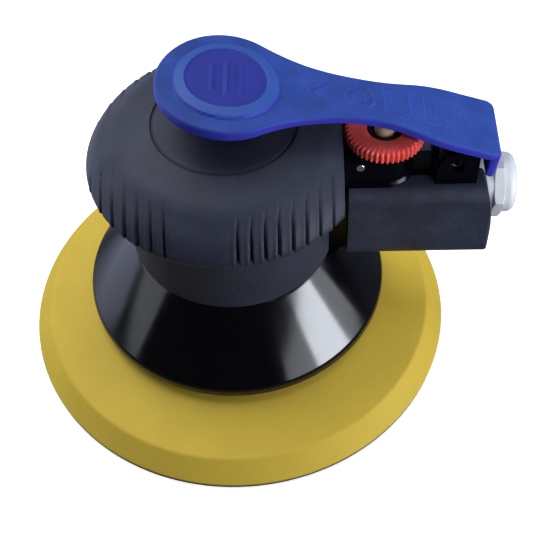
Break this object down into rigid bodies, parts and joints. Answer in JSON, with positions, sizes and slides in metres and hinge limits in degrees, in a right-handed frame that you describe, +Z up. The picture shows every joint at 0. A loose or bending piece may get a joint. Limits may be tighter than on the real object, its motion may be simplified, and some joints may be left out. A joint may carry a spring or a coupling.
{
  "type": "random orbital sander",
  "caption": "Air-powered palm sander with a round foam pad, bell shroud, mushroom grip, throttle lever, flow regulator wheel and a side air inlet.",
  "frame": {"origin": "the motor's axis at the pad's working face", "axes": "+X along the inlet arm towards the air inlet, +Z up along the motor's axis, away from the working face"},
  "size_m": [0.168, 0.15, 0.1147],
  "materials": {
    "housing_black": "gloss",
    "shroud_black": "gloss",
    "grip_rubber": "matte",
    "arm_plastic": "matte",
    "anodised_aluminium": "satin",
    "motor_steel": "satin",
    "bright_steel": "polished",
    "spring_steel": "satin",
    "plate_iron": "satin",
    "inlet_metal": "satin",
    "valve_brass": "satin",
    "seal_rubber": "satin",
    "felt": "matte",
    "lever_blue": "satin",
    "stem_cream": "satin",
    "regulator_red": "satin",
    "sleeve_black": "satin",
    "vane_composite": "matte",
    "plate_fibre": "matte",
    "pad_foam": "matte",
    "hook_face": "matte"
  },
  "bodies": {
    "housing": {"motor_housing": "housing_black", "grip_boot": "grip_rubber", "neck_sleeve": "grip_rubber", "arm_cover": "arm_plastic", "shroud": "shroud_black", "lock_ring": "anodised_aluminium", "motor_cylinder": "motor_steel", "cylinder_dowel": "bright_steel", "upper_end_plate": "plate_iron", "lower_end_plate": "plate_iron", "housing_o_ring": "seal_rubber", "upper_bearing_outer_race": "bright_steel", "lower_bearing_outer_race": "bright_steel", "inlet_bushing": "inlet_metal", "inlet_gasket": "seal_rubber", "inlet_screen": "bright_steel", "valve_seat": "valve_brass", "valve_spring": "bright_steel", "muffler_felt": "felt", "exhaust_grille": "housing_black", "lever_pin": "spring_steel", "regulator_stop_pin": "bright_steel"},
    "lever": {"throttle_lever": "lever_blue"},
    "push_stem": {"valve_stem": "stem_cream", "stem_o_ring": "seal_rubber"},
    "tip_valve": {"tip_valve": "valve_brass", "tip_valve_seal": "seal_rubber"},
    "regulator": {"regulator_wheel": "regulator_red", "regulator_sleeve": "sleeve_black", "regulator_o_ring": "seal_rubber"},
    "rotor": {"rotor": "motor_steel", "rotor_vanes": "vane_composite", "rotor_key": "bright_steel", "shaft_balancer": "motor_steel", "shaft_circlip": "spring_steel", "upper_bearing_inner_race": "bright_steel", "lower_bearing_inner_race": "bright_steel", "spindle_bearing_outer_race": "bright_steel", "bearing_retaining_ring": "spring_steel"},
    "upper_cage": {"upper_bearing_balls": "bright_steel"},
    "lower_cage": {"lower_bearing_balls": "bright_steel"},
    "spindle_cage": {"spindle_bearing_balls": "bright_steel"},
    "spindle": {"spindle": "motor_steel", "spindle_bearing_inner_race": "bright_steel", "spindle_circlip": "spring_steel", "pad_stud": "bright_steel", "pad_backing_plate": "plate_fibre", "pad_foam": "pad_foam", "pad_face": "hook_face"}
  },
  "joints": [
    {"name": "lever_press", "type": "hinge", "parent": "housing", "child": "lever", "pos_m": [0.072, 0, 0.0816], "axis": [0, -1, 0], "range_deg": [0, 7], "stiffness_Nm_per_rad": 1, "springref_deg": -20.05},
    {"name": "stem_push", "type": "slide", "parent": "housing", "child": "push_stem", "axis": [0, 0, -1], "range_m": [0, 0.003]},
    {"name": "valve_tilt", "type": "hinge", "parent": "housing", "child": "tip_valve", "pos_m": [0.0628, 0, 0.0692], "axis": [0, -1, 0], "range_deg": [0, 13.4], "deforming": ["valve_spring"]},
    {"name": "flow_set", "type": "hinge", "parent": "housing", "child": "regulator", "pos_m": [0.0498, 0, 0.08], "axis": [0, 0, 1], "range_deg": [0, 90]},
    {"name": "rotor_spin", "type": "hinge", "parent": "housing", "child": "rotor", "pos_m": [0, 0, 0.06], "axis": [0, 0, 1], "continuous": true},
    {"name": "upper_cage_roll", "type": "hinge", "parent": "housing", "child": "upper_cage", "pos_m": [0, 0, 0.0851], "axis": [0, 0, 1], "continuous": true},
    {"name": "lower_cage_roll", "type": "hinge", "parent": "housing", "child": "lower_cage", "pos_m": [0, 0, 0.0483], "axis": [0, 0, 1], "continuous": true},
    {"name": "spindle_spin", "type": "hinge", "parent": "rotor", "child": "spindle", "pos_m": [0, -0.0025, 0.03], "axis": [0, 0, 1], "continuous": true},
    {"name": "spindle_cage_roll", "type": "hinge", "parent": "rotor", "child": "spindle_cage", "pos_m": [0, -0.0025, 0.0315], "axis": [0, 0, 1], "continuous": true}
  ],
  "couplings": [
    {"joint": "stem_push", "follows": "lever_press", "m_per_rad": 0.0245},
    {"joint": "valve_tilt", "follows": "lever_press", "ratio": 1.9},
    {"joint": "upper_cage_roll", "follows": "rotor_spin", "ratio": 0.37},
    {"joint": "lower_cage_roll", "follows": "rotor_spin", "ratio": 0.38},
    {"joint": "spindle_cage_roll", "follows": "spindle_spin", "ratio": 0.39}
  ]
}
